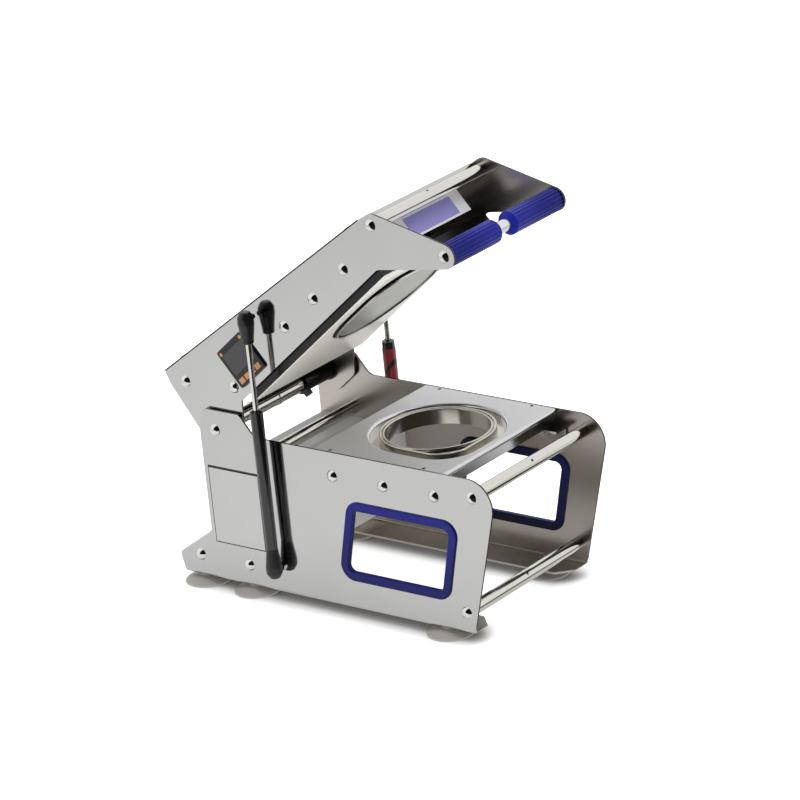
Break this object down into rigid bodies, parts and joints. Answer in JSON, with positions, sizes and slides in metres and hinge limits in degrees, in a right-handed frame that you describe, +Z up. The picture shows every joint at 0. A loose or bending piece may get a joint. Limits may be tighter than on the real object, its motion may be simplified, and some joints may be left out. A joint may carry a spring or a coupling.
{
  "type": "cup sealing machine",
  "caption": "Manual cup sealing machine: hinged arm with a sprung heater head and film cutter over a ring mould in a stainless table, held open by gas springs.",
  "frame": {"origin": "middle of the bounding box at bench level, under the feet, with the arm at its open stop", "axes": "+X from the tower at the back to the operator at the front, +Y from the operator's left to the right, +Z up"},
  "size_m": [0.5581, 0.315, 0.5881],
  "materials": {
    "stainless": "polished stainless sheet",
    "polished": "bright polished",
    "rod_steel": "ground and polished bar",
    "blue_rubber": "smooth moulded rubber",
    "foot_rubber": "matt grey rubber",
    "black_plastic": "moulded",
    "black_steel": "black oxide",
    "black_tube": "black lacquer",
    "pale_sheet": "cream enamel",
    "white_sheet": "white enamel",
    "violet_panel": "plain printed film",
    "heater_alu": "machined",
    "dark_pane": "tinted window",
    "amber": "translucent amber",
    "red_sleeve": "shrunk sleeve",
    "gasket": "cut sheet",
    "spring_steel": "coiled wire"
  },
  "bodies": {
    "base": {"left_side_plate": "stainless", "right_side_plate": "stainless", "hand_hole_trims": "blue_rubber", "side_screws": "polished", "service_gasket": "gasket", "service_cover": "stainless", "front_rods": "rod_steel", "tower_rods": "rod_steel", "table": "stainless", "cup_mould": "rod_steel", "mould_studs": "rod_steel", "table_rails": "stainless", "feet": "foot_rubber", "foot_studs": "rod_steel", "electrics_box": "white_sheet", "relay_and_terminals": "black_plastic", "cable_inlet": "black_plastic", "switch_frame": "black_plastic", "pivot_shaft": "rod_steel", "thrust_washers": "polished", "spring_lower_studs": "polished"},
    "arm": {"left_arm_plate": "stainless", "right_arm_plate": "stainless", "arm_screws": "polished", "pivot_tube": "rod_steel", "pivot_sleeve": "black_steel", "pivot_clamp": "black_steel", "cross_rods": "rod_steel", "front_top_rod": "rod_steel", "film_axles": "rod_steel", "handle_bar": "polished", "handle_grips": "blue_rubber", "arm_cover": "stainless", "small_screws": "polished", "front_fascia": "white_sheet", "label_panel": "violet_panel", "control_case": "black_plastic", "control_pane": "dark_pane", "control_lamps": "amber", "guide_plate": "stainless"},
    "head": {"head_frame": "black_steel", "head_face": "pale_sheet", "head_carrier": "stainless", "heater_disc": "heater_alu", "heater_element": "rod_steel", "cutter_ring": "rod_steel", "guide_posts": "rod_steel", "head_springs": "spring_steel"},
    "film_spindle": {"film_spindle": "black_plastic"},
    "film_roller": {"film_roller": "rod_steel"},
    "switch_rocker": {"switch_rocker": "black_plastic"},
    "left_cylinder": {"left_spring_cylinder": "black_tube"},
    "left_rod": {"left_spring_rod": "polished"},
    "right_cylinder": {"right_spring_cylinder": "black_tube", "right_spring_sleeve": "red_sleeve"},
    "right_rod": {"right_spring_rod": "polished"},
    "control_key_1": {"control_key_1": "amber"},
    "control_key_2": {"control_key_2": "amber"},
    "control_key_3": {"control_key_3": "amber"},
    "control_key_4": {"control_key_4": "amber"}
  },
  "joints": [
    {"name": "arm_hinge", "type": "hinge", "parent": "base", "child": "arm", "pos_m": [-0.18695, 0, 0.2392], "axis": [0, 1, 0], "range_deg": [0, 40.8], "stiffness_Nm_per_rad": 14, "springref_deg": -92.82},
    {"name": "head_lift", "type": "slide", "parent": "arm", "child": "head", "axis": [-0.6534, 0, 0.757], "range_m": [0, 0.01255], "deforming": ["head_springs"]},
    {"name": "film_spindle_spin", "type": "hinge", "parent": "arm", "child": "film_spindle", "pos_m": [-0.23561, 0, 0.30077], "axis": [0, 1, 0], "continuous": true},
    {"name": "film_roller_spin", "type": "hinge", "parent": "arm", "child": "film_roller", "pos_m": [-0.1489, 0, 0.30546], "axis": [0, 1, 0], "continuous": true},
    {"name": "control_key_1_press", "type": "slide", "parent": "arm", "child": "control_key_1", "axis": [0, 1, 0], "range_m": [0, 0.0007], "stiffness_N_per_m": 400, "springref_m": -0.0005},
    {"name": "control_key_2_press", "type": "slide", "parent": "arm", "child": "control_key_2", "axis": [0, 1, 0], "range_m": [0, 0.0007], "stiffness_N_per_m": 400, "springref_m": -0.0005},
    {"name": "control_key_3_press", "type": "slide", "parent": "arm", "child": "control_key_3", "axis": [0, 1, 0], "range_m": [0, 0.0007], "stiffness_N_per_m": 400, "springref_m": -0.0005},
    {"name": "control_key_4_press", "type": "slide", "parent": "arm", "child": "control_key_4", "axis": [0, 1, 0], "range_m": [0, 0.0007], "stiffness_N_per_m": 400, "springref_m": -0.0005},
    {"name": "switch_rock", "type": "hinge", "parent": "base", "child": "switch_rocker", "pos_m": [-0.21005, -0.113, 0.137], "axis": [0, 1, 0], "range_deg": [0, 10]},
    {"name": "left_spring_swing", "type": "hinge", "parent": "base", "child": "left_cylinder", "pos_m": [-0.09395, -0.146, 0.0548], "axis": [0, 1, 0], "range_deg": [0, 20.02]},
    {"name": "left_spring_stroke", "type": "slide", "parent": "left_cylinder", "child": "left_rod", "axis": [0.0024, 0, -1], "range_m": [0, 0.0875]},
    {"name": "right_spring_swing", "type": "hinge", "parent": "base", "child": "right_cylinder", "pos_m": [-0.09395, 0.146, 0.0548], "axis": [0, 1, 0], "range_deg": [0, 20.02]},
    {"name": "right_spring_stroke", "type": "slide", "parent": "right_cylinder", "child": "right_rod", "axis": [0.0024, 0, -1], "range_m": [0, 0.0875]}
  ],
  "couplings": [
    {"joint": "head_lift", "follows": "arm_hinge", "m_per_rad": 0.017554},
    {"joint": "left_spring_swing", "follows": "arm_hinge", "ratio": 0.48937},
    {"joint": "left_spring_stroke", "follows": "arm_hinge", "m_per_rad": 0.12259},
    {"joint": "right_spring_swing", "follows": "arm_hinge", "ratio": 0.48937},
    {"joint": "right_spring_stroke", "follows": "arm_hinge", "m_per_rad": 0.12259}
  ]
}
